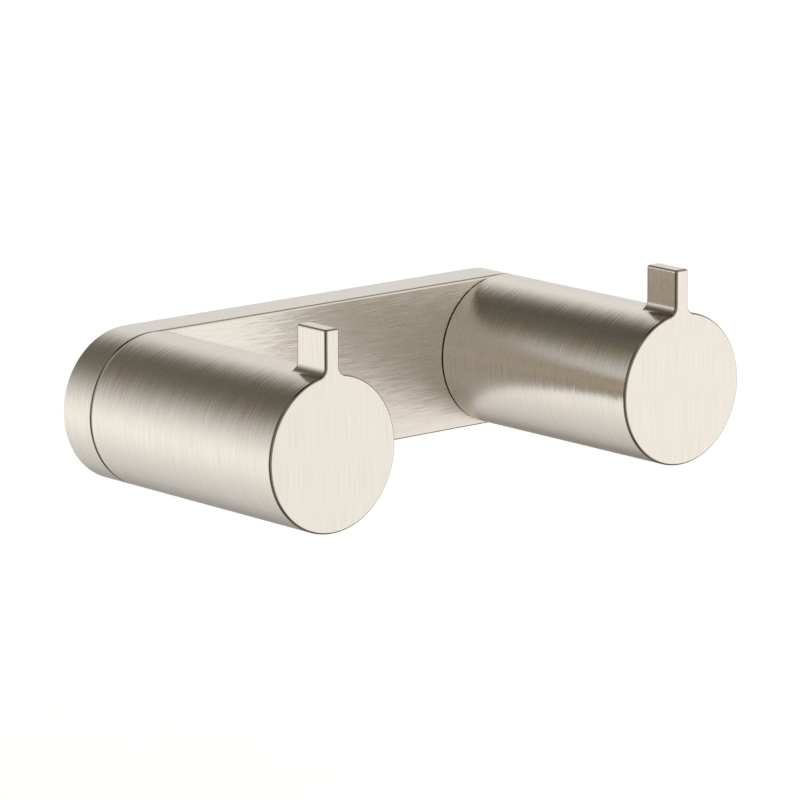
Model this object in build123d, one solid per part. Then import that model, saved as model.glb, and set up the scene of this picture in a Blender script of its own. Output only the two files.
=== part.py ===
from build123d import *
import math
import os

# Double robe hook for a wall: a slim plate with round ends, a thick round post standing on
# each end of it, and a small upright tab on each post that keeps a loop from sliding off.
# Millimetres. X runs along the plate, +Y goes into the wall, +Z is up.
# The origin is the centre of the back, where the hook lies on the wall.

# Posts
post_diameter = 28.0
post_length = 50.0
post_spacing = 82.0

# Tab at the front of each post, flush with the post's end face
tab_width = 3.0
tab_height = 8.0
tab_depth = 8.0
tab_root_radius = 1.7

# The tab's outline goes on inside the post, down to this share of the way out from its axis
tab_root_share = 0.8

# Plate: a cast cover, hollow towards the wall, with a thicker seat behind each post
plate_depth = 8.0
plate_rim = 2.4
plate_web = 2.6
seat_thickness = 4.2
recess_corner_bevel = 0.6

# Rounded edges of the plate's front and of the tabs, and the bevels turned on each post:
# one round its end face and its tab, a finer one round its foot
edge_radius = 0.5
front_bevel = 0.35
foot_bevel = 0.2

# Countersunk screw that holds each post from behind its seat
post_screw_diameter = 5.0
post_screw_length = 14.0
post_screw_head_diameter = 10.0
post_screw_socket = 3.0
post_screw_socket_depth = 1.8

# Dowel above each post screw, which keeps the tab upright
dowel_diameter = 3.0
dowel_length = 7.0
dowel_offset = 8.0
dowel_setback = 0.3
dowel_chamfer = 0.3

# Mounting rail: a bar screwed to the wall, which carries the plate on its top edge
rail_end_gap = 0.9
rail_front_gap = 0.4
rail_bottom_gap = 0.6
rail_edge_break = 0.4
groove_depth = 1.7
wall_screw_spacing = 30.0
wall_slot_width = 4.6
wall_slot_length = 8.0
wall_slot_head = 8.6
wall_slot_taper = 45.0

# Grub screws in the underside, whose cones press up into the rail's groove
grub_spacing = 46.0
grub_diameter = 4.0
grub_length = 4.0
grub_tip_diameter = 0.8
grub_socket = 2.0
grub_socket_depth = 1.6

# The groove lies this much nearer the wall than the cones, so they pull the plate back
groove_offset = 0.1

# Clearances
shank_clearance = 0.25
thread_clearance = 0.03
countersink_clearance = 0.03
dowel_clearance = 0.02
groove_clearance = 0.03
hole_end_spare = 2.5

# Differences smaller than this count as none where edges are picked
least_length = 0.001

# Twist drill and thread ends
drill_angle = 118.0
thread_end_chamfer = 0.5

# Worked out from the sizes above
post_radius = post_diameter / 2
front = plate_depth + post_length
recess_depth = plate_depth - plate_web
recess_radius = post_radius - plate_rim
seat_level = plate_depth - seat_thickness
post_places = {"left": -post_spacing / 2, "right": post_spacing / 2}
grub_places = {"left": -grub_spacing / 2, "right": grub_spacing / 2}

rail_length = post_spacing - 2 * recess_radius - 2 * rail_end_gap
rail_thickness = recess_depth - rail_front_gap
rail_top = recess_radius
rail_bottom = rail_bottom_gap - recess_radius

grub_distance = recess_depth / 2
groove_distance = grub_distance - groove_offset
groove_top = rail_bottom + groove_depth
grub_tip = groove_top - grub_tip_diameter / 2 - groove_offset - groove_clearance


# Plane that faces the room, a distance in front of the wall
def facing_room(distance, x=0, z=0):
    return Plane(origin=(x, -distance, z), x_dir=(1, 0, 0), z_dir=(0, -1, 0))


# Solid turned about the Z axis, from an outline of (radius, z) points
def turned(points):
    outline = Polyline(*[(radius, 0, z) for radius, z in points], close=True)
    return revolve(make_face(outline), Axis.Z)


# Key hole with six flats, from z = 0 up
def hex_socket(width, depth):
    return extrude(RegularPolygon(width / 2, 6, major_radius=False), depth)


# Drilled hole from z = 0 up, with the cone that the drill leaves at its end
def blind_hole(diameter, depth):
    radius = diameter / 2
    cone = radius / math.tan(math.radians(drill_angle / 2))
    return turned([(0, 0), (radius, 0), (radius, depth), (0, depth + cone)])


# Edges of a solid that lie flat in one plane in front of the wall
def edges_at(solid, distance):
    edges = solid.edges().filter_by(lambda edge: edge.bounding_box().size.Y < least_length)
    return edges.filter_by(lambda edge: abs(edge.center().Y + distance) < least_length)


# Tab with its root: the concave corners touch the round post and the tab's flanks, and the
# outline goes on down inside the post. Its top and rear edges are rounded.
def tab():
    flank = tab_width / 2
    top = post_radius + tab_height
    centre_x = flank + tab_root_radius
    centre_z = math.sqrt((post_radius + tab_root_radius) ** 2 - centre_x ** 2)
    half_turn = math.atan2(centre_z, centre_x) / 2
    reach = post_radius / (post_radius + tab_root_radius)

    foot = Vector(flank, centre_z)
    middle = Vector(centre_x, centre_z) - tab_root_radius * Vector(math.cos(half_turn), math.sin(half_turn))
    on_post = Vector(centre_x, centre_z) * reach
    inside = on_post * tab_root_share

    corner = ThreePointArc(on_post, middle, foot)
    half = [corner, Polyline(foot, (flank, top), (0, top)), Polyline(on_post, inside, (0, inside.Y))]
    outline = make_face(half + [mirror(line, Plane.YZ) for line in half])
    solid = extrude(facing_room(front) * outline, -tab_depth)

    top_edges = solid.edges().filter_by(Axis.Y).filter_by(lambda edge: edge.center().Z > top - least_length)
    rear_edges = edges_at(solid, front - tab_depth)
    rear_edges = rear_edges.filter_by(lambda edge: edge.center().Z > on_post.Y + least_length)
    return fillet(top_edges + rear_edges, edge_radius)


# Post with its tab in one piece, a tapped hole for its screw and a hole for its dowel
def hook_post(x):
    post = extrude(facing_room(plate_depth) * Circle(post_radius), post_length)
    post = post + tab()
    post = chamfer(edges_at(post, front), front_bevel)
    post = chamfer(edges_at(post, plate_depth), foot_bevel)

    screw_end = seat_level + post_screw_length
    tapped = blind_hole(
        post_screw_diameter + 2 * thread_clearance, screw_end - plate_depth + hole_end_spare
    )
    dowel_end = seat_level + dowel_setback + dowel_length
    doweled = blind_hole(dowel_diameter + 2 * dowel_clearance, dowel_end - plate_depth + dowel_setback)
    post = post - facing_room(plate_depth) * tapped
    post = post - facing_room(plate_depth, z=dowel_offset) * doweled
    return Pos(X=x) * post


# Cover with round ends: hollow behind, with a screw hole and a dowel hole in each seat
def back_plate():
    outline = SlotCenterToCenter(post_spacing, post_diameter)
    plate = extrude(facing_room(0) * outline, plate_depth)
    plate = fillet(edges_at(plate, plate_depth), edge_radius)

    recess = extrude(facing_room(0) * SlotCenterToCenter(post_spacing, 2 * recess_radius), recess_depth)
    for x in post_places.values():
        seat = extrude(facing_room(recess_depth, x) * Circle(recess_radius), seat_level - recess_depth)
        recess = recess - seat
    plate = plate - recess
    plate = chamfer(edges_at(plate, recess_depth), recess_corner_bevel)

    for x in post_places.values():
        plate = plate - facing_room(seat_level, x) * post_screw_hole()
        plate = plate - facing_room(seat_level, x, dowel_offset) * dowel_hole()
    for x in grub_places.values():
        hole = Cylinder(grub_diameter / 2 + thread_clearance, 2 * plate_rim)
        plate = plate - Pos(x, -grub_distance, plate_rim / 2 - post_radius) * hole
    return plate


# Countersunk hole through a seat, from z = 0 up
def post_screw_hole():
    shank = post_screw_diameter / 2 + shank_clearance
    head = post_screw_head_diameter / 2 + countersink_clearance
    return turned([(0, 0), (head, 0), (shank, head - shank), (shank, seat_thickness), (0, seat_thickness)])


# Plain hole through a seat for the dowel
def dowel_hole():
    radius = dowel_diameter / 2 + dowel_clearance
    return turned([(0, 0), (radius, 0), (radius, seat_thickness), (0, seat_thickness)])


# Countersunk screw, its head flush with the back of the seat
def post_screw(x):
    shank = post_screw_diameter / 2
    head = post_screw_head_diameter / 2
    end = shank - thread_end_chamfer
    length = post_screw_length
    body = turned([(0, 0), (head, 0), (shank, head - shank), (shank, length - thread_end_chamfer),
                   (end, length), (0, length)])
    screw = body - hex_socket(post_screw_socket, post_screw_socket_depth)
    return facing_room(seat_level, x) * screw


# Dowel, half in the seat and half in the post
def post_dowel(x):
    radius = dowel_diameter / 2
    end = radius - dowel_chamfer
    far = dowel_length - dowel_chamfer
    pin = turned([(0, 0), (end, 0), (radius, dowel_chamfer), (radius, far), (end, dowel_length),
                  (0, dowel_length)])
    return facing_room(seat_level + dowel_setback, x, dowel_offset) * pin


# Bar of one section along X, with a V groove under it and two countersunk slots
def mounting_rail():
    height = rail_top - rail_bottom
    middle = (rail_top + rail_bottom) / 2
    bar = Pos(0, -rail_thickness / 2, middle) * Box(rail_length, rail_thickness, height)
    bar = chamfer(bar.edges().filter_by(Axis.X), rail_edge_break)

    groove = Polyline(
        (-groove_distance, groove_top), (-groove_distance - 2 * groove_depth, groove_top - 2 * groove_depth),
        (-groove_distance + 2 * groove_depth, groove_top - 2 * groove_depth), close=True
    )
    section = Plane(origin=(-rail_length, 0, 0), x_dir=(0, 1, 0), z_dir=(1, 0, 0))
    bar = bar - extrude(section * make_face(groove), 2 * rail_length)

    head_margin = wall_slot_head - wall_slot_width
    countersink = head_margin / 2
    for x in (-wall_screw_spacing / 2, wall_screw_spacing / 2):
        slot = SlotOverall(wall_slot_length, wall_slot_width)
        wide_slot = SlotOverall(wall_slot_length + head_margin, wall_slot_head)
        bar = bar - extrude(facing_room(0, x) * slot, rail_thickness)
        bar = bar - extrude(facing_room(rail_thickness, x) * wide_slot, -countersink, taper=wall_slot_taper)
    return bar


# Grub screw with a cone point, its key hole open to the underside
def grub_screw(x):
    radius = grub_diameter / 2
    tip = grub_tip_diameter / 2
    body = turned([(0, 0), (radius, 0), (radius, grub_length - radius + tip), (tip, grub_length),
                   (0, grub_length)])
    screw = body - hex_socket(grub_socket, grub_socket_depth)
    return Pos(x, -grub_distance, grub_tip - grub_length) * screw


# Each piece is written to a file of its own
def write(name, solid):
    solid.label = name
    export_step(solid, f"parts/{name}.step")


os.makedirs("parts", exist_ok=True)
write("back_plate", back_plate())
write("mounting_rail", mounting_rail())
for side, x in post_places.items():
    write(f"hook_post_{side}", hook_post(x))
    write(f"post_screw_{side}", post_screw(x))
    write(f"post_dowel_{side}", post_dowel(x))
for side, x in grub_places.items():
    write(f"grub_screw_{side}", grub_screw(x))
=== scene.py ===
import bpy
import numpy as np
from mathutils import Matrix, Vector
from mathutils.geometry import delaunay_2d_cdt


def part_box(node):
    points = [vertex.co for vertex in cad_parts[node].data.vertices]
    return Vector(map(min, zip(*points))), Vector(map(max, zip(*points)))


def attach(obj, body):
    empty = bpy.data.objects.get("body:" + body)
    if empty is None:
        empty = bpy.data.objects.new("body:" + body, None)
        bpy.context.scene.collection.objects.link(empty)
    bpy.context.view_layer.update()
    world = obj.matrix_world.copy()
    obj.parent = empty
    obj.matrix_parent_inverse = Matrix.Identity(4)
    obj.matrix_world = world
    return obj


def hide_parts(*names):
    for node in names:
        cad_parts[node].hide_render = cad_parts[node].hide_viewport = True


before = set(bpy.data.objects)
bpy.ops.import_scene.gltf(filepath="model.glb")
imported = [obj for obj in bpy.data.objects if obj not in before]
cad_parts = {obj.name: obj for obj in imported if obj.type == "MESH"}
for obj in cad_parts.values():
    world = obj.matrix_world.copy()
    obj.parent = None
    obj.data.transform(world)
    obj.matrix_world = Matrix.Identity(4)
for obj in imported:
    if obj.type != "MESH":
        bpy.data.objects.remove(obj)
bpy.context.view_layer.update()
print("frame loaded,", len(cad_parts), "nodes")

mm = 0.001
axisY, axisZ = 1, 2
mirrorX = np.array([-1.0, 1.0, 1.0])   # times a point or a normal gives its mirror image in X = 0
swapYZ = [0, 2, 1]                     # turns what runs along Y so that it runs along Z

# How fine the meshes are, and what counts as touching, in mm
fineness = {
    "holeSteps": 48,       # points round a hole
    "weld": 1e-4,          # points nearer than this become one
    "samePoint": 1e-6,     # neighbours in a row nearer than this are one point
    "fill": 1e-5,          # the same, where a flat face is cut into triangles
    "leastArea": 1e-7,     # mm2, smaller faces are dropped
}


# Places of the two posts and the levels along Y that the plate and the posts share, in mm
postBox = [np.array(corner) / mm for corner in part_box("hook_post_left")]
rightBox = [np.array(corner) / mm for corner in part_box("hook_post_right")]
plateBox = [np.array(corner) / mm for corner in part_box("back_plate")]
screwBox = [np.array(corner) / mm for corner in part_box("post_screw_left")]
dowelBox = [np.array(corner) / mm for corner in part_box("post_dowel_left")]
grubBox = [np.array(corner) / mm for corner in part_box("grub_screw_left")]

postRadius = (postBox[1][0] - postBox[0][0]) / 2
postX = {
    "left": (postBox[0][0] + postBox[1][0]) / 2,
    "right": (rightBox[0][0] + rightBox[1][0]) / 2,
}
frontY = postBox[0][1]
plateFrontY = plateBox[0][1]
seatY = screwBox[1][1]
dowelRadius = (dowelBox[1][0] - dowelBox[0][0]) / 2
dowelZ = (dowelBox[0][2] + dowelBox[1][2]) / 2
grubRadius = (grubBox[1][0] - grubBox[0][0]) / 2
grubX = (grubBox[0][0] + grubBox[1][0]) / 2
grubY = (grubBox[0][1] + grubBox[1][1]) / 2


# A patch is a set of faces with their corners' points, normals and brushing coordinates.
# The brushing coordinates are in mm: the first across the brushing, the second along it.
def gridPatch(points, normals, across, along, finish):
    # One quad between each four neighbours of a grid of rows and columns
    brushing = np.stack(np.broadcast_arrays(across, along), axis=-1)
    normals = np.broadcast_to(normals, points.shape)
    corners = []
    for grid in (points, normals, brushing):
        four = [grid[:-1, :-1], grid[1:, :-1], grid[1:, 1:], grid[:-1, 1:]]
        corners.append(np.stack(four, axis=2).reshape(-1, 4, grid.shape[-1]))
    return {"points": corners[0], "normals": corners[1], "brushing": corners[2], "finish": finish}


def flatPatch(loops, flatAxis, normal, across, along, finish):
    # A flat face inside its first loop of points, with a hole for each further loop, cut into
    # triangles. Its brushing coordinates are its points' distances in two directions.
    insideWithHoles = 2   # what delaunay_2d_cdt fills
    kept = [axis for axis in range(3) if axis != flatAxis]
    points = np.concatenate(loops)
    ends = np.cumsum([len(loop) for loop in loops])
    rings = [list(range(end - len(loop), end)) for end, loop in zip(ends, loops)]
    flat = [Vector(pair) for pair in points[:, kept].tolist()]
    filled = delaunay_2d_cdt(flat, [], rings, insideWithHoles, fineness["fill"])
    places, triangles, origins = filled[0], filled[2], filled[3]
    vertices = np.full((len(places), 3), points[0, flatAxis])
    vertices[:, kept] = np.array([tuple(pair) for pair in places])
    source = np.array([ids[0] if ids else -1 for ids in origins])
    vertices[source >= 0] = points[source[source >= 0]]
    corners = vertices[np.array(triangles)]
    normals = np.broadcast_to(np.array(normal, float), corners.shape)
    brushing = np.stack([corners @ np.array(across, float), corners @ np.array(along, float)], axis=-1)
    return {"points": corners, "normals": normals, "brushing": brushing, "finish": finish}


def mirrored(patch, length):
    # The same patch on the other side of X = 0. Its brushing goes on round an outline of the
    # given length, from the end backwards.
    return {
        "points": patch["points"] * mirrorX,
        "normals": patch["normals"] * mirrorX,
        "brushing": patch["brushing"] * (1, -1) + (0, length),
        "finish": patch["finish"],
    }


def makePiece(name, patches, finishes, place, node):
    # Joins patches where their points meet, drops faces of no area and turns every face so
    # that it looks the way its normals point. The normals themselves are kept.
    faces, normals, brushing, finish = [], [], [], []
    allPoints = np.concatenate([patch["points"].reshape(-1, 3) for patch in patches])
    keys = np.round(allPoints / fineness["weld"]).astype(np.int64)
    first, index = np.unique(keys, axis=0, return_index=True, return_inverse=True)[1:]
    vertices = allPoints[first]
    index = index.reshape(-1)
    start = 0
    for patch in patches:
        count, size = patch["points"].shape[:2]
        corner = index[start:start + count * size].reshape(count, size)
        start += count * size
        # Faces with all their corners, and quads that lose one corner and become triangles
        same = corner == np.roll(corner, -1, axis=1)
        groups = [(~same.any(axis=1), list(range(size)))]
        if size == 4:
            single = same.sum(axis=1) == 1
            groups += [(same[:, k] & single, [j for j in range(4) if j != k]) for k in range(4)]
        for mask, kept in groups:
            chosen = corner[mask][:, kept]
            points = vertices[chosen]
            norm = patch["normals"][mask][:, kept]
            uv = patch["brushing"][mask][:, kept]
            lay = np.cross(points[:, 2] - points[:, 0], points[:, -1] - points[:, 1])
            whole = np.linalg.norm(lay, axis=1) > fineness["leastArea"]
            turned = np.einsum("ij,ij->i", lay, norm.sum(axis=1)) < 0
            for wanted, step in ((whole & ~turned, 1), (whole & turned, -1)):
                faces.append(chosen[wanted][:, ::step])
                normals.append(norm[wanted][:, ::step].reshape(-1, 3))
                brushing.append(uv[wanted][:, ::step].reshape(-1, 2))
                finish.append(np.full(wanted.sum(), finishes.index(patch["finish"])))
    mesh = bpy.data.meshes.new(name)
    sizes = np.concatenate([np.full(len(group), group.shape[1]) for group in faces])
    loops = np.concatenate([group.reshape(-1) for group in faces])
    mesh.vertices.add(len(vertices))
    mesh.vertices.foreach_set("co", ((vertices + np.array(place)) * mm).astype(np.float32).reshape(-1))
    mesh.loops.add(len(loops))
    mesh.loops.foreach_set("vertex_index", loops.astype(np.int32))
    mesh.polygons.add(len(sizes))
    mesh.polygons.foreach_set("loop_start", (np.cumsum(sizes) - sizes).astype(np.int32))
    mesh.polygons.foreach_set("material_index", np.concatenate(finish).astype(np.int32))
    mesh.update(calc_edges=True)
    layer = mesh.uv_layers.new(name="brushing")
    layer.uv.foreach_set("vector", np.concatenate(brushing).astype(np.float32).reshape(-1))
    unit = np.concatenate(normals)
    unit = unit / np.linalg.norm(unit, axis=1, keepdims=True)
    mesh.normals_split_custom_set(unit.tolist())
    for finishName in finishes:
        mesh.materials.append(materials[finishName])
    piece = bpy.data.objects.new(name, mesh)
    bpy.context.scene.collection.objects.link(piece)
    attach(piece, "root")
    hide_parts(node)
    print("made", name, "with", len(sizes), "faces")


# Rows of points in the XZ plane, each point with the way out from the shape that it bounds
def arc(centre, radius, start, end, count):
    # Centre + radius * (cos, sin) of angles in degrees, and the way out from the centre
    angle = np.radians(np.linspace(start, end, count + 1))
    out = np.stack([np.cos(angle), np.sin(angle)], axis=1)
    return np.array(centre) + radius * out, out


def line(start, end, normal, count):
    # Start and end mixed in even steps, all with the same way out
    share = np.linspace(0, 1, count + 1)[:, None]
    points = (1 - share) * np.array(start) + share * np.array(end)
    return points, np.broadcast_to(np.array(normal, float), points.shape)


def chained(*runs):
    # Runs of points in one row, each starting where the last one ends
    points = np.concatenate([runs[0][0]] + [run[0][1:] for run in runs[1:]])
    out = np.concatenate([runs[0][1]] + [run[1][1:] for run in runs[1:]])
    return points, out


def alongLine(points):
    # Distance from the first point, measured along the row
    steps = np.linalg.norm(np.diff(points, axis=0), axis=1)
    return np.concatenate([[0.0], np.cumsum(steps)])


def closed(loop):
    # A closed row without the points that repeat the one before them
    return loop[np.linalg.norm(loop - np.roll(loop, 1, axis=0), axis=1) > fineness["samePoint"]]


def atLevel(flat, y):
    # A row of the XZ plane set at one Y
    return np.stack(np.broadcast_arrays(flat[..., 0], y, flat[..., 1]), axis=-1)


def ring(centre, radius, y):
    # A closed circle of points at one Y
    return atLevel(arc(centre, radius, 0, 360, fineness["holeSteps"])[0][:-1], y)


def carried(points, out, inset, y, turnOut, turnY):
    # A profile carried along an outline: each row is the outline less inset * the way out, at
    # its own Y, and its normals are turnOut * the way out + turnY * the Y direction
    x, z, outX, outZ, inset, y, turnOut, turnY = np.broadcast_arrays(
        points[:, 0], points[:, 1], out[:, 0], out[:, 1], inset, y, turnOut, turnY)
    grid = np.stack([x - inset * outX, y, z - inset * outZ], axis=-1)
    normal = np.stack([turnOut * outX, turnY, turnOut * outZ], axis=-1)
    return grid, normal


def frontEdge(points, out, radius, y, turn, along, lipSteps):
    # The rounded edge of a face at Y that looks along -Y: a quarter circle from the face to
    # the sides, turn being its angle. Its first rows take the lip finish, as bright as the face,
    # and the others the edge finish, darkened with painted shade. Also gives the row that bounds the face.
    grid, normal = carried(points, out, radius * (1 - np.sin(turn)), y + radius * (1 - np.cos(turn)),
                           np.sin(turn), -np.cos(turn))
    parts = ((slice(lipSteps + 1), "lip"), (slice(lipSteps, None), "edge"))
    patches = [gridPatch(grid[rows], normal[rows], radius * turn[rows], along, finish)
               for rows, finish in parts]
    return patches, grid[0]


def rearEdge(points, out, radius, y, turn):
    # The rounded edge of a face at Y that looks along +Y: a quarter circle from the sides to
    # the face
    return carried(points, out, radius * (1 - np.cos(turn)), y - radius * (1 - np.sin(turn)),
                   np.cos(turn), np.sin(turn))


def bore(centre, radii, levels, finish):
    # A turned hollow along Y: circles of a row of radii at a row of levels, joined by straight
    # lines, with normals that face the axis
    circle, out = arc(centre, 0.0, 0, 360, fineness["holeSteps"])
    angle = np.linspace(0, 2 * np.pi, fineness["holeSteps"] + 1)
    patches = []
    for start in range(len(radii) - 1):
        radius = np.array(radii[start:start + 2], float)[:, None]
        y = np.array(levels[start:start + 2], float)[:, None]
        slope = np.array([levels[start + 1] - levels[start], radii[start + 1] - radii[start]])
        slope = slope / np.linalg.norm(slope) * -np.sign(slope[0])   # square to the line, inwards
        grid, normal = carried(circle, out, -radius, y, slope[0], -slope[1])
        patches.append(gridPatch(grid, normal, y, radius * angle, finish))
    return patches


# Colours and nodes
def linearColour(code):
    # An sRGB hex colour as the linear one that a node takes
    parts = np.array([int(code[k:k + 2], 16) for k in (1, 3, 5)]) / 255
    linear = np.where(parts <= 0.04045, parts / 12.92, ((parts + 0.055) / 1.055) ** 2.4)
    return (*linear.tolist(), 1.0)


def addNode(tree, kind, settings=None, values=None, links=None):
    # One node, with its settings, the values of its sockets and the sockets that feed it.
    # Sockets go by name or number. In a Mix node 0 is the factor, 2 and 3 are its numbers and
    # 6 and 7 its colours.
    node = tree.nodes.new(kind)
    for key, value in (settings or {}).items():
        setattr(node, key, value)
    for key, value in (values or {}).items():
        node.inputs[key].default_value = value
    for key, source in (links or {}).items():
        tree.links.new(source, node.inputs[key])
    return node


def emptyMaterial(name):
    material = bpy.data.materials.new(name)
    material.use_nodes = True
    material.node_tree.nodes.clear()
    return material, material.node_tree


# Brushed nickel plate: nickel over cast zinc, drawn past an abrasive belt. Fine grooves run one
# way, so reflections blur across them and break up into streaks where light turns to dark.
nickel = {
    "colour": "#E2DBD1",      # nickel plate, a warm white metal
    "scratched": "#D8D1C5",   # in the grooves of the brushing
    "softness": 0.30,         # the smaller, the more the colour changes from groove to groove
    "tiltAcross": 0.02,       # how far the grooves turn reflections across the brushing
    "tiltAlong": 0.02,        # and along it, which makes the ends of streaks ragged
    "roughness": 0.26,
    "roughSpread": 0.08,      # share by which it changes from groove to groove
    "anisotropy": 0.75,       # brushed metal blurs reflections across the grooves
    "grooveWidth": 0.14,      # mm, real ones are about 0.05, drawn coarser so that they show
    "grooveLength": 9.0,      # mm
    "crossing": 0.05,         # radians between the two sets of grooves
    "bandWidth": 0.9,         # mm, groups of grooves from one pass of the brush
    "bandLength": 28.0,       # mm
    "bandShare": 0.35,        # of the bands in the colour, the rest being the grooves'
}

# How each finish differs from that
finishLooks = {
    "face": {         # end faces and tab: a fine belt, which leaves quiet straight lines
        "name": "brushedNickelFace", "tiltAcross": 0.025, "tiltAlong": 0.012, "softness": 0.45,
    },
    "round": {        # sides of posts: brushed round them, so light breaks up into streaks
        "name": "brushedNickelRound", "tiltAcross": 0.05, "tiltAlong": 0.06,
    },
    "lip": {          # smooth strip beside a face, which draws a thin bright line
        "name": "brushedNickelLip", "roughness": 0.16, "anisotropy": 0.0,
    },
    "edge": {         # rounded edges, with painted shade: a darker colour that draws a thin dark line
        "name": "nickelEdgePaintedShade", "roughness": 0.16, "anisotropy": 0.0,
        "colour": "#9C9385", "scratched": "#8D8477",
    },
    "plate": {        # front of the plate: a coarser belt, which leaves short, clear streaks
        "name": "brushedNickelPlate", "tiltAcross": 0.10, "tiltAlong": 0.07, "softness": 0.15,
        "grooveLength": 6.5,
    },
    "rim": {          # sides of the plate, brushed round it
        "name": "brushedNickelRim", "tiltAcross": 0.04, "tiltAlong": 0.06,
    },
    "joint": {        # gap round a post's foot, matt, with painted shade: its colour is darkened for the shadow in the gap
        "name": "nickelJointPaintedShade", "roughness": 0.5, "anisotropy": 0.0,
        "colour": "#8A8274", "scratched": "#6E675B",
    },
    "cast": {         # back and holes, plated as they were cast, an even satin
        "name": "castNickel", "roughness": 0.42, "anisotropy": 0.0,
    },
}

noiseLow, noiseHigh = 0.3, 0.7   # between them lies nearly all of a noise texture


def brushedNickel(look):
    # Two sets of noise drawn out along the brushing are its grooves, and a wider one its bands.
    # They change the colour and the roughness, and tilt the normals for the reflections.
    material, tree = emptyMaterial(look["name"])
    uv = addNode(tree, "ShaderNodeUVMap", {"uv_map": "brushing"})
    fineSize = (1 / look["grooveWidth"], 1 / look["grooveLength"], 1.0)
    bandSize = (1 / look["bandWidth"], 1 / look["bandLength"], 1.0)
    finePlace = addNode(tree, "ShaderNodeMapping", None, {"Scale": fineSize}, {"Vector": uv.outputs[0]})
    crossPlace = addNode(tree, "ShaderNodeMapping", None,   # moved, so that the sets differ
                         {"Rotation": (0, 0, look["crossing"]), "Scale": fineSize,
                          "Location": (31.0, 7.0, 0)},
                         {"Vector": uv.outputs[0]})
    bandPlace = addNode(tree, "ShaderNodeMapping", None, {"Scale": bandSize}, {"Vector": uv.outputs[0]})
    grooves = addNode(tree, "ShaderNodeTexNoise", {"noise_dimensions": "2D"},
                      {"Scale": 1.0, "Detail": 3.0, "Roughness": 0.6}, {"Vector": finePlace.outputs[0]})
    crossing = addNode(tree, "ShaderNodeTexNoise", {"noise_dimensions": "2D"},
                       {"Scale": 1.0, "Detail": 3.0, "Roughness": 0.6}, {"Vector": crossPlace.outputs[0]})
    bands = addNode(tree, "ShaderNodeTexNoise", {"noise_dimensions": "2D"},
                    {"Scale": 1.0, "Detail": 2.0, "Roughness": 0.5}, {"Vector": bandPlace.outputs[0]})

    lines = addNode(tree, "ShaderNodeMix", {"data_type": "FLOAT"}, {0: look["bandShare"]},
                    {2: grooves.outputs["Fac"], 3: bands.outputs["Fac"]})
    level = addNode(tree, "ShaderNodeMapRange", None,
                    {"From Min": 0.5 - look["softness"], "From Max": 0.5 + look["softness"]},
                    {"Value": lines.outputs[0]})
    colour = addNode(tree, "ShaderNodeMix", {"data_type": "RGBA"},
                     {6: linearColour(look["scratched"]), 7: linearColour(look["colour"])},
                     {0: level.outputs[0]})
    rough = addNode(tree, "ShaderNodeMapRange", None,
                    {"From Min": noiseLow, "From Max": noiseHigh,
                     "To Min": look["roughness"] * (1 + look["roughSpread"]),
                     "To Max": look["roughness"] * (1 - look["roughSpread"])},
                    {"Value": grooves.outputs["Fac"]})

    # A normal map's 0.5 is no tilt
    across = addNode(tree, "ShaderNodeMapRange", {"clamp": False},
                     {"To Min": 0.5 - look["tiltAcross"], "To Max": 0.5 + look["tiltAcross"]},
                     {"Value": grooves.outputs["Fac"]})
    along = addNode(tree, "ShaderNodeMapRange", {"clamp": False},
                    {"To Min": 0.5 - look["tiltAlong"], "To Max": 0.5 + look["tiltAlong"]},
                    {"Value": crossing.outputs["Fac"]})
    tilt = addNode(tree, "ShaderNodeCombineColor", None, {"Blue": 1.0},
                   {"Red": across.outputs[0], "Green": along.outputs[0]})
    normal = addNode(tree, "ShaderNodeNormalMap", {"uv_map": "brushing"}, {"Strength": 1.0},
                     {"Color": tilt.outputs[0]})
    tangent = addNode(tree, "ShaderNodeTangent", {"direction_type": "UV_MAP", "uv_map": "brushing"})
    shader = addNode(tree, "ShaderNodeBsdfPrincipled", None,
                     {"Metallic": 1.0, "Anisotropic": look["anisotropy"]},
                     {"Base Color": colour.outputs[2], "Roughness": rough.outputs[0],
                      "Normal": normal.outputs[0], "Tangent": tangent.outputs[0]})
    addNode(tree, "ShaderNodeOutputMaterial", None, None, {"Surface": shader.outputs[0]})
    return material


materials = {key: brushedNickel(nickel | look) for key, look in finishLooks.items()}
print("nickel finishes made")


post = {
    "tabWidth": 3.0,         # mm
    "tabDepth": 8.0,
    "rootRadius": 1.7,       # concave corners where the tab grows out of the post
    "edgeRadius": 0.5,
    "footRadius": 0.1,       # broken edge of the foot
    "jointWidth": 0.20,      # shadow gap round the foot, which with the painted shade of its joint finish makes the dark seam on the plate
    "jointDepth": 0.45,
    "screwHole": 2.53,       # radius of the tapped hole, behind the foot
    "screwHoleDepth": 12.3,
    "dowelPlay": 0.02,
    "dowelHoleDepth": 3.4,
    "drillAngle": 118.0,
    "roundSteps": 84,        # columns round half of the post
    "rootSteps": 12,         # columns round a concave corner
    "flankSteps": 8,         # columns up the tab's flank
    "topSteps": 2,           # columns on half of the tab's top
    "edgeSteps": 8,          # rows across a rounded edge
    "lipSteps": 2,           # of them, next to the end face, are as bright as the face
    "tabSteps": 2,           # rows along the tab
    "shankSteps": 8,         # rows along the post behind the tab
}


def keyholeHalf():
    # Right half of the end face's outline, from the bottom up: the round of the post, the
    # concave corner that touches it, the tab's flank, its small corner and half of its top.
    flank = post["tabWidth"] / 2
    top = postBox[1][2]
    root, edge = post["rootRadius"], post["edgeRadius"]
    centreX = flank + root
    centreZ = np.sqrt((postRadius + root) ** 2 - centreX ** 2)
    touch = np.degrees(np.arctan2(centreZ, centreX))
    body = arc((0, 0), postRadius, -90, touch, post["roundSteps"])
    corner = arc((centreX, centreZ), root, touch + 180, 180, post["rootSteps"])
    corner = (corner[0], -corner[1])
    side = line((flank, centreZ), (flank, top - edge), (1, 0), post["flankSteps"])
    small = arc((flank - edge, top - edge), edge, 0, 90, post["edgeSteps"])
    half = line((flank - edge, top), (0, top), (0, 1), post["topSteps"])
    return chained(body, corner, side, small, half)


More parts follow.
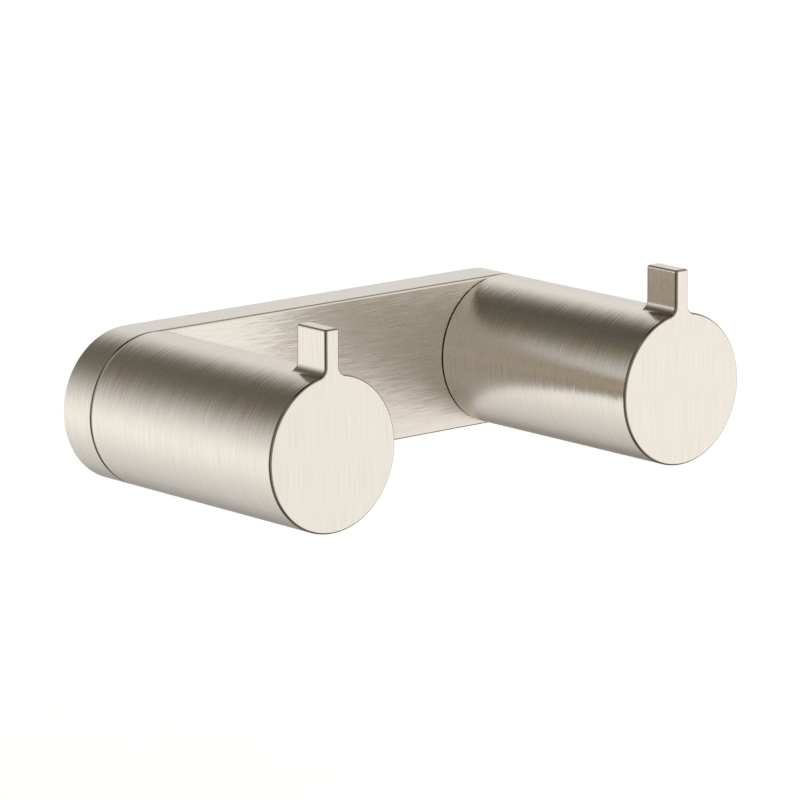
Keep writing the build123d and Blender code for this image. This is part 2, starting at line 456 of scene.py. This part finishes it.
def postPatches():
    points, out = keyholeHalf()
    onTab = np.arange(len(points)) >= post["roundSteps"]
    edge, foot = post["edgeRadius"], post["footRadius"]
    rearY = frontY + post["tabDepth"]
    jointY = plateFrontY - post["jointWidth"]
    along = alongLine(points)
    turn = np.radians(np.linspace(0, 90, post["edgeSteps"] + 1))[:, None]

    # The post's own round, which the tab's columns meet behind it
    angle = np.arctan2(points[:, 1], points[:, 0])
    angle[onTab] = np.linspace(angle[post["roundSteps"]], np.pi / 2, onTab.sum())
    outward = np.stack([np.cos(angle), np.sin(angle)], axis=1)
    circle = postRadius * outward
    circleAlong = postRadius * (angle + np.pi / 2)

    # The tab's rear edge is as round as the front, and fades out where the corner meets the post
    gap = np.clip((np.linalg.norm(points, axis=1) - postRadius) / post["rootRadius"], 0, 1)
    rear = np.where(onTab, edge * (1 - (1 - gap) ** 2), 0.0)

    # From the end face back: its edge, the sides with the tab, the tab's rear edge, the shank,
    # its broken edge, and the step and neck of the shadow gap
    patches, frontRow = frontEdge(points, out, edge, frontY, turn, along, post["lipSteps"])
    share = np.linspace(0, 1, post["tabSteps"] + 1)[:, None]
    sideY = (1 - share) * (frontY + edge) + share * (rearY - rear)
    grid, normal = carried(points, out, 0.0, sideY, 1.0, 0.0)
    patches.append(gridPatch(grid, normal, sideY, along, "round"))
    # The tab's rear edge takes the edge finish, whose darker colour is painted shade
    grid, normal = rearEdge(points[onTab], out[onTab], rear[onTab], rearY, turn)
    patches.append(gridPatch(grid, normal, rearY + edge * turn, along[onTab], "edge"))
    rearRow = grid[-1]
    shankY = np.linspace(rearY, jointY - foot, post["shankSteps"] + 1)[:, None]
    grid, normal = carried(circle, outward, 0.0, shankY, 1.0, 0.0)
    patches.append(gridPatch(grid, normal, shankY, circleAlong, "round"))
    grid, normal = rearEdge(circle, outward, foot, jointY, turn)
    patches.append(gridPatch(grid, normal, jointY + foot * turn, circleAlong, "lip"))
    # The shadow gap's step and neck take the joint finish, whose dark colour is painted shade
    inset = np.array([[foot], [post["jointDepth"]]])
    grid, normal = carried(circle, outward, inset, jointY, 0.0, 1.0)
    patches.append(gridPatch(grid, normal, inset, circleAlong, "joint"))
    neckY = np.array([[jointY], [plateFrontY]])
    grid, normal = carried(circle, outward, post["jointDepth"], neckY, 1.0, 0.0)
    patches.append(gridPatch(grid, normal, neckY, circleAlong, "joint"))
    footRow = grid[-1]
    patches += [mirrored(patch, 2 * np.pi * postRadius) for patch in patches]

    # End face, rear face of the tab, and foot with its two drilled holes
    frontLoop = closed(np.concatenate([frontRow, frontRow[::-1] * mirrorX]))
    patches.append(flatPatch([frontLoop], axisY, (0, -1, 0), (1, 0, 0), (0, 0, 1), "face"))
    under = atLevel(circle[onTab], rearY)
    rearLoop = closed(np.concatenate([rearRow, rearRow[::-1] * mirrorX, under * mirrorX, under[::-1]]))
    patches.append(flatPatch([rearLoop], axisY, (0, 1, 0), (1, 0, 0), (0, 0, 1), "face"))
    footLoop = closed(np.concatenate([footRow, footRow[::-1] * mirrorX]))
    drilled = [((0, 0), post["screwHole"], post["screwHoleDepth"]),
               ((0, dowelZ), dowelRadius + post["dowelPlay"], post["dowelHoleDepth"])]
    holes = [ring(centre, radius, plateFrontY) for centre, radius, depth in drilled]
    patches.append(flatPatch([footLoop] + holes, axisY, (0, 1, 0), (1, 0, 0), (0, 0, 1), "cast"))
    slope = np.tan(np.radians(post["drillAngle"] / 2))
    for centre, radius, depth in drilled:
        levels = [plateFrontY, plateFrontY - depth, plateFrontY - depth - radius / slope]
        patches += bore(centre, [radius, radius, 0.0], levels, "cast")
    return patches


postFinishes = ["face", "round", "lip", "edge", "joint", "cast"]
for side, x in postX.items():
    node = "hook_post_" + side
    makePiece("hookPost_" + side, postPatches(), postFinishes, (x, 0, 0), node)


plate = {
    "rim": 2.4,              # mm, wall round the hollow back
    "recessDepth": 5.4,
    "edgeRadius": 0.5,
    "cornerBevel": 0.6,      # cast corner round the floor of the recess
    "headRadius": 5.03,      # countersink of each post's screw, at the back of the seat
    "shankRadius": 2.75,     # and its hole through the seat
    "dowelPlay": 0.02,
    "grubPlay": 0.03,
    "roundSteps": 84,        # columns round each end
    "straightSteps": 20,     # columns along half of each side
    "bevelSteps": 2,         # rows across the cast corner
    "edgeSteps": 8,          # rows across a rounded edge
    "lipSteps": 4,           # of them, next to the face, are as bright as the face
}


def stadium(reach, radius, steps, straightSteps):
    # Closed outline of a bar with round ends, from the middle of its lower side round to there
    below = line((0, -radius), (reach, -radius), (0, -1), straightSteps)
    right = arc((reach, 0), radius, -90, 90, steps)
    above = line((reach, radius), (-reach, radius), (0, 1), 2 * straightSteps)
    left = arc((-reach, 0), radius, 90, 270, steps)
    back = line((-reach, -radius), (0, -radius), (0, -1), straightSteps)
    return chained(below, right, above, left, back)


def recessLoop(level):
    # Edge of the recess floor at a level of its corner bevel, from 0 on the floor to 1 at the
    # bevel's top: two straight sides, and at each end the arc round the seat
    bevel, reach = plate["cornerBevel"] * (1 - level), postX["right"]
    inner = postRadius - plate["rim"]
    radius, half = inner + bevel, inner - bevel
    end = reach - np.sqrt(max(radius ** 2 - half ** 2, 0.0))
    tip = np.degrees(np.arctan2(half, end - reach))
    steps, straightSteps = plate["roundSteps"], plate["straightSteps"]
    lower = line((-end, -half), (end, -half), (0, -1), 2 * straightSteps)
    right = arc((reach, 0), radius, 360 - tip, tip, steps)
    upper = line((end, half), (-end, half), (0, 1), 2 * straightSteps)
    left = arc((-reach, 0), radius, 180 - tip, tip - 180, steps)
    return chained(lower, (right[0], -right[1]), upper, (left[0], -left[1]))


def platePatches():
    reach, edge, rim = postX["right"], plate["edgeRadius"], plate["rim"]
    steps, straightSteps = plate["roundSteps"], plate["straightSteps"]
    points, out = stadium(reach, postRadius, steps, straightSteps)
    along = alongLine(points)
    turn = np.radians(np.linspace(0, 90, plate["edgeSteps"] + 1))[:, None]
    inner = postRadius - rim
    floorY = -plate["recessDepth"]
    bevelY = floorY + plate["cornerBevel"]
    patches, frontRow = frontEdge(points, out, edge, plateFrontY, turn, along, plate["lipSteps"])

    # The outer wall, left open along its lower straight side, which has the grub holes
    wallY = np.array([[plateFrontY + edge], [0.0]])
    grid, normal = carried(points, out, 0.0, wallY, 1.0, 0.0)
    low = np.abs(points[:, 1] + postRadius) < fineness["samePoint"]
    first, last = np.flatnonzero(~low)[[0, -1]]
    upper = slice(first - 1, last + 2)
    patches.append(gridPatch(grid[:, upper], normal[:, upper], wallY, along[upper], "rim"))

    # That side and the one inside it, flat walls with a point at each level of their neighbours
    row = np.sort(points[low, 0])
    row = row[np.append(True, np.diff(row) > fineness["samePoint"])]
    grubHole = grubRadius + plate["grubPlay"]
    sides = ((-postRadius, [plateFrontY + edge, 0.0], (0, 0, -1), "rim"),
             (-inner, [bevelY, seatY, 0.0], (0, 0, 1), "cast"))
    for z, levels, normal, finish in sides:
        flat = np.stack([row, np.full(len(row), z)], axis=1)
        loop = [atLevel(flat, levels[0])]
        loop += [atLevel(flat[-1:], level) for level in levels[1:-1]]
        loop.append(atLevel(flat[::-1], levels[-1]))
        loop += [atLevel(flat[:1], level) for level in levels[-2:0:-1]]
        holes = [ring((x, grubY), grubHole, z)[:, swapYZ] for x in (grubX, -grubX)]
        loops = [np.concatenate(loop)] + holes
        patches.append(flatPatch(loops, axisZ, normal, (0, 1, 0), (1, 0, 0), finish))
    for x in (grubX, -grubX):
        for patch in bore((x, grubY), [grubHole, grubHole], [-postRadius, -inner], "cast"):
            lying = {key: patch[key][..., swapYZ] for key in ("points", "normals")}
            patches.append(patch | lying)

    # Rim on the wall, and the walls of the recess
    inset = np.array([[0.0], [rim]])
    grid, normal = carried(points, out, inset, 0.0, 0.0, 1.0)
    patches.append(gridPatch(grid, normal, inset, along, "cast"))
    seatLevels, floorLevels = np.array([[seatY], [0.0]]), np.array([[bevelY], [seatY]])
    for end, towards in ((reach, 0), (-reach, 180)):
        outer = arc((end, 0), inner, towards - 90, towards + 90, steps)
        grid, normal = carried(*outer, 0.0, seatLevels, -1.0, 0.0)
        patches.append(gridPatch(grid, normal, seatLevels, alongLine(outer[0]), "cast"))
        step = arc((end, 0), inner, towards + 90, towards + 270, steps)
        grid, normal = carried(*step, 0.0, floorLevels, 1.0, 0.0)
        patches.append(gridPatch(grid, normal, floorLevels, alongLine(step[0]), "cast"))
    top = line((reach, inner), (-reach, inner), (0, 1), 2 * straightSteps)
    levels = np.array([[bevelY], [seatY], [0.0]])
    grid, normal = carried(*top, 0.0, levels, -1.0, 0.0)
    patches.append(gridPatch(grid, normal, levels, alongLine(top[0]), "cast"))

    # Floor of the recess and the cast corner round it
    shares = np.linspace(0, 1, plate["bevelSteps"] + 1)
    rows, ways = (np.stack(part) for part in zip(*[recessLoop(share) for share in shares]))
    levels = np.linspace(floorY, bevelY, len(shares))[:, None]
    grid = atLevel(rows, levels)
    slant = np.sqrt(0.5)
    normal = atLevel(-slant * ways, slant)
    patches.append(gridPatch(grid, normal, levels, alongLine(rows[0]), "cast"))
    patches.append(flatPatch([grid[0][:-1]], axisY, (0, 1, 0), (0, 0, 1), (1, 0, 0), "cast"))

    # Front face and seats, with the holes that the posts hide
    head, shank = plate["headRadius"], plate["shankRadius"]
    dowelHole = dowelRadius + plate["dowelPlay"]
    coneY = seatY - (head - shank)
    frontHoles = []
    for end in (-reach, reach):
        screwPlace, dowelPlace = (end, 0), (end, dowelZ)
        frontHoles += [ring(screwPlace, shank, plateFrontY), ring(dowelPlace, dowelHole, plateFrontY)]
        halves = [arc(screwPlace, inner, -90, 90, steps), arc(screwPlace, inner, 90, 270, steps)]
        seat = atLevel(closed(chained(*halves)[0]), seatY)
        seatHoles = [ring(screwPlace, head, seatY), ring(dowelPlace, dowelHole, seatY)]
        patches.append(flatPatch([seat] + seatHoles, axisY, (0, 1, 0), (0, 0, 1), (1, 0, 0), "cast"))
        patches += bore(screwPlace, [head, shank, shank], [seatY, coneY, plateFrontY], "cast")
        patches += bore(dowelPlace, [dowelHole, dowelHole], [seatY, plateFrontY], "cast")
    loops = [frontRow[:-1]] + frontHoles
    patches.append(flatPatch(loops, axisY, (0, -1, 0), (0, 0, 1), (1, 0, 0), "plate"))
    return patches


plateFinishes = ["plate", "rim", "lip", "edge", "cast"]
makePiece("backPlate", platePatches(), plateFinishes, (0, 0, 0), "back_plate")


# The pieces that the plate hides keep their CAD meshes and get finishes of their own
hidden = {
    "mounting_rail": {
        "name": "extrudedAluminium", "colour": "#D3D4D4", "marked": "#BDBEBF", "roughness": 0.38,
        "grain": (14.0, 0.25, 0.25),   # mm along X, Y and Z: die lines run along the bar
        "depth": 0.010,                # mm
    },
    "post_screw": {
        "name": "zincPlatedSteel", "colour": "#C4C8CC", "marked": "#B3B2A8", "roughness": 0.30,
        "grain": (1.6, 1.6, 1.6),      # cloudy passivation
        "depth": 0.004,
    },
    "post_dowel": {
        "name": "groundSteel", "colour": "#BDBDBE", "marked": "#A6A6A8", "roughness": 0.22,
        "grain": (6.0, 0.20, 6.0),     # grinding lines run round the pin
        "depth": 0.004,
    },
    "grub_screw": {
        "name": "turnedStainlessSteel", "colour": "#C2C0BC", "marked": "#A9A7A3", "roughness": 0.27,
        "grain": (6.0, 6.0, 0.20),     # turning lines run round the screw
        "depth": 0.006,
    },
}


def hiddenMetal(look):
    # Bare or plated metal with the marks that its making left: drawn lines, a ground or turned
    # surface, or clouds of passivation. They give the eye a fine grain without brushing.
    rougher, smoother = 1.2, 0.85   # times the roughness, in the marks and between them
    material, tree = emptyMaterial(look["name"])
    place = addNode(tree, "ShaderNodeTexCoord")
    size = tuple(1 / (length * mm) for length in look["grain"])
    scaled = addNode(tree, "ShaderNodeMapping", None, {"Scale": size}, {"Vector": place.outputs["Object"]})
    marks = addNode(tree, "ShaderNodeTexNoise", None, {"Scale": 1.0, "Detail": 4.0, "Roughness": 0.6},
                    {"Vector": scaled.outputs[0]})
    level = addNode(tree, "ShaderNodeMapRange", None, {"From Min": noiseLow, "From Max": noiseHigh},
                    {"Value": marks.outputs["Fac"]})
    colour = addNode(tree, "ShaderNodeMix", {"data_type": "RGBA"},
                     {6: linearColour(look["marked"]), 7: linearColour(look["colour"])},
                     {0: level.outputs[0]})
    rough = addNode(tree, "ShaderNodeMapRange", None,
                    {"To Min": look["roughness"] * rougher, "To Max": look["roughness"] * smoother},
                    {"Value": level.outputs[0]})
    bump = addNode(tree, "ShaderNodeBump", None, {"Strength": 1.0, "Distance": look["depth"] * mm},
                   {"Height": marks.outputs["Fac"]})
    shader = addNode(tree, "ShaderNodeBsdfPrincipled", None, {"Metallic": 1.0},
                     {"Base Color": colour.outputs[2], "Roughness": rough.outputs[0],
                      "Normal": bump.outputs[0]})
    addNode(tree, "ShaderNodeOutputMaterial", None, None, {"Surface": shader.outputs[0]})
    return material


for kind, look in hidden.items():
    material = hiddenMetal(look)
    for name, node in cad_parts.items():
        if name.startswith(kind):
            for slot in node.material_slots:
                slot.material = material
print("hidden pieces finished")


# Camera where the photograph was taken from, found by fitting the edges of the posts and plate
camera = {
    "place": (-669.7, -813.8, 219.4),   # mm
    "yaw": 40.424,                      # degrees from +Y towards +X
    "pitch": 12.049,                    # degrees down
    "roll": -0.207,
    "focal": 5862.4,                    # pixels, in a picture 800 pixels wide
    "width": 800,                       # pixels
    "sensor": 36.0,                     # mm
    "near": 0.05,                       # m, nothing nearer or farther than these is seen
    "far": 20.0,
}


def makeCamera():
    yaw, pitch, roll = (np.radians(camera[key]) for key in ("yaw", "pitch", "roll"))
    ahead = Vector((np.sin(yaw) * np.cos(pitch), np.cos(yaw) * np.cos(pitch), -np.sin(pitch)))
    right = Vector((np.cos(yaw), -np.sin(yaw), 0))
    up = right.cross(ahead)
    turnedRight = right * np.cos(roll) + up * np.sin(roll)
    turnedUp = up * np.cos(roll) - right * np.sin(roll)
    data = bpy.data.cameras.new("camera")
    data.sensor_width = camera["sensor"]
    data.lens = camera["sensor"] * camera["focal"] / camera["width"]
    data.clip_start = camera["near"]
    data.clip_end = camera["far"]
    viewer = bpy.data.objects.new("camera", data)
    basis = Matrix((turnedRight, turnedUp, -ahead)).transposed().to_4x4()
    viewer.matrix_world = Matrix.Translation(Vector(camera["place"]) * mm) @ basis
    bpy.context.scene.collection.objects.link(viewer)
    bpy.context.scene.camera = viewer


makeCamera()
print("camera placed")


stage = {
    "floorZ": -0.10,          # m, below the object, so that its shadow falls below the picture
    "floorSize": 3.0,         # m
    "floorColour": "#E9E8E6",
    "backdropColour": "#FFFFFF",
    "flagColour": "#FFE688",  # what little light the flags give back is warm
    "whiteFrom": 0.47,        # strength of the light from which it has no tint left
    "floorLift": 0.63,        # lifts the floor to white for the camera, under its soft shadow
}


def makeFloor():
    # A plain pale floor that keeps the object's shadow. From below it is clear. The metal shows
    # the backdrop there instead, with its soft boxes and flags.
    size = stage["floorSize"] / 2
    corners = [(-size, -size), (size, -size), (size, size), (-size, size)]
    mesh = bpy.data.meshes.new("floor")
    mesh.from_pydata([(x, y, stage["floorZ"]) for x, y in corners], [], [(0, 1, 2, 3)])
    floor = bpy.data.objects.new("floor", mesh)
    bpy.context.scene.collection.objects.link(floor)
    floor.visible_glossy = False
    material, tree = emptyMaterial("paleFloor")
    path = addNode(tree, "ShaderNodeLightPath")
    matt = addNode(tree, "ShaderNodeBsdfDiffuse", None, {"Color": linearColour(stage["floorColour"])})
    seen = addNode(tree, "ShaderNodeMath", {"operation": "MAXIMUM"}, None,
                   {0: path.outputs["Is Camera Ray"], 1: path.outputs["Is Transmission Ray"]})
    lift = addNode(tree, "ShaderNodeMath", {"operation": "MULTIPLY"}, {1: stage["floorLift"]},
                   {0: seen.outputs[0]})
    white = addNode(tree, "ShaderNodeEmission", None, {"Color": linearColour(stage["backdropColour"])},
                    {"Strength": lift.outputs[0]})
    pale = addNode(tree, "ShaderNodeAddShader", None, None, {0: matt.outputs[0], 1: white.outputs[0]})
    clear = addNode(tree, "ShaderNodeBsdfTransparent")
    side = addNode(tree, "ShaderNodeNewGeometry")
    both = addNode(tree, "ShaderNodeMixShader", None, None,
                   {0: side.outputs["Backfacing"], 1: pale.outputs[0], 2: clear.outputs[0]})
    addNode(tree, "ShaderNodeOutputMaterial", None, None, {"Surface": both.outputs[0]})
    mesh.materials.append(material)


makeFloor()
print("floor laid")


# Studio: a white backdrop all round, and in front of it soft boxes, which are brighter, and
# black flags, which are darker, as a photographer sets them round a metal object. Each adds
# strength * exp(focus * (cos(angle from its middle) - 1)) to the backdrop's 1, so the higher
# its focus is, the smaller it is.
studio = [   # bearing from +Y towards +X and height, both in degrees, focus, strength
    (-56, 63, 24, 1.17), (44, 43, 24, 0.97), (-32, -8, 12, 0.55), (-89, 60, 24, 0.58),
    (162, 46, 12, 0.40), (126, -11, 12, 0.43), (41, 74, 24, 0.35), (-123, -51, 6, 0.33),
    (-64, 83, 24, 0.21), (-123, -51, 3, -0.07), (-140, -10, 10, -0.08), (85, -12, 14, -0.19),
    (-116, -61, 6, -0.27), (-174, -18, 24, -0.28), (-172, 8, 12, -0.28), (-107, 11, 12, -0.42),
    (72, -48, 12, -0.85), (39, -40, 12, -0.58), (-102, -22, 12, -0.82), (-128, -70, 6, -0.94),
    (-44, 72, 3, -1.73),
]


def makeWorld():
    world = bpy.data.worlds.new("studio")
    bpy.context.scene.world = world
    world.use_nodes = True
    tree = world.node_tree
    tree.nodes.clear()
    place = addNode(tree, "ShaderNodeTexCoord")
    total = None
    for bearing, height, focus, strength in studio:
        turn, rise = np.radians(bearing), np.radians(height)
        towards = np.array([np.sin(turn) * np.cos(rise), np.cos(turn) * np.cos(rise), np.sin(rise)])
        facing = addNode(tree, "ShaderNodeVectorMath", {"operation": "DOT_PRODUCT"},
                         {1: tuple(towards * focus)}, {0: place.outputs["Generated"]})
        fall = addNode(tree, "ShaderNodeMath", {"operation": "SUBTRACT"}, {1: focus},
                       {0: facing.outputs["Value"]})
        fade = addNode(tree, "ShaderNodeMath", {"operation": "EXPONENT"}, None, {0: fall.outputs[0]})
        part = addNode(tree, "ShaderNodeMath", {"operation": "MULTIPLY_ADD"}, {1: strength, 2: 0.0},
                       {0: fade.outputs[0]})
        if total:
            tree.links.new(total, part.inputs[2])
        total = part.outputs[0]

    # The camera itself sees the plain backdrop. Where the flags leave little light, it is warm.
    path = addNode(tree, "ShaderNodeLightPath")
    rest = addNode(tree, "ShaderNodeMath", {"operation": "SUBTRACT"}, {0: 1.0},
                   {1: path.outputs["Is Camera Ray"]})
    level = addNode(tree, "ShaderNodeMath", {"operation": "MULTIPLY_ADD"}, {2: 1.0},
                    {0: total, 1: rest.outputs[0]})
    light = addNode(tree, "ShaderNodeMath", {"operation": "MAXIMUM"}, {1: 0.0}, {0: level.outputs[0]})
    white = addNode(tree, "ShaderNodeMath", {"operation": "DIVIDE"}, {1: stage["whiteFrom"]},
                    {0: light.outputs[0]})
    tint = addNode(tree, "ShaderNodeMix", {"data_type": "RGBA"},
                   {6: linearColour(stage["flagColour"]), 7: linearColour(stage["backdropColour"])},
                   {0: white.outputs[0]})
    backdrop = addNode(tree, "ShaderNodeBackground", None, None,
                       {"Color": tint.outputs[2], "Strength": light.outputs[0]})
    addNode(tree, "ShaderNodeOutputWorld", None, None, {"Surface": backdrop.outputs[0]})


makeWorld()
print("studio lit with", len(studio), "soft boxes and flags")


bpy.context.scene.view_settings.view_transform = "Standard"
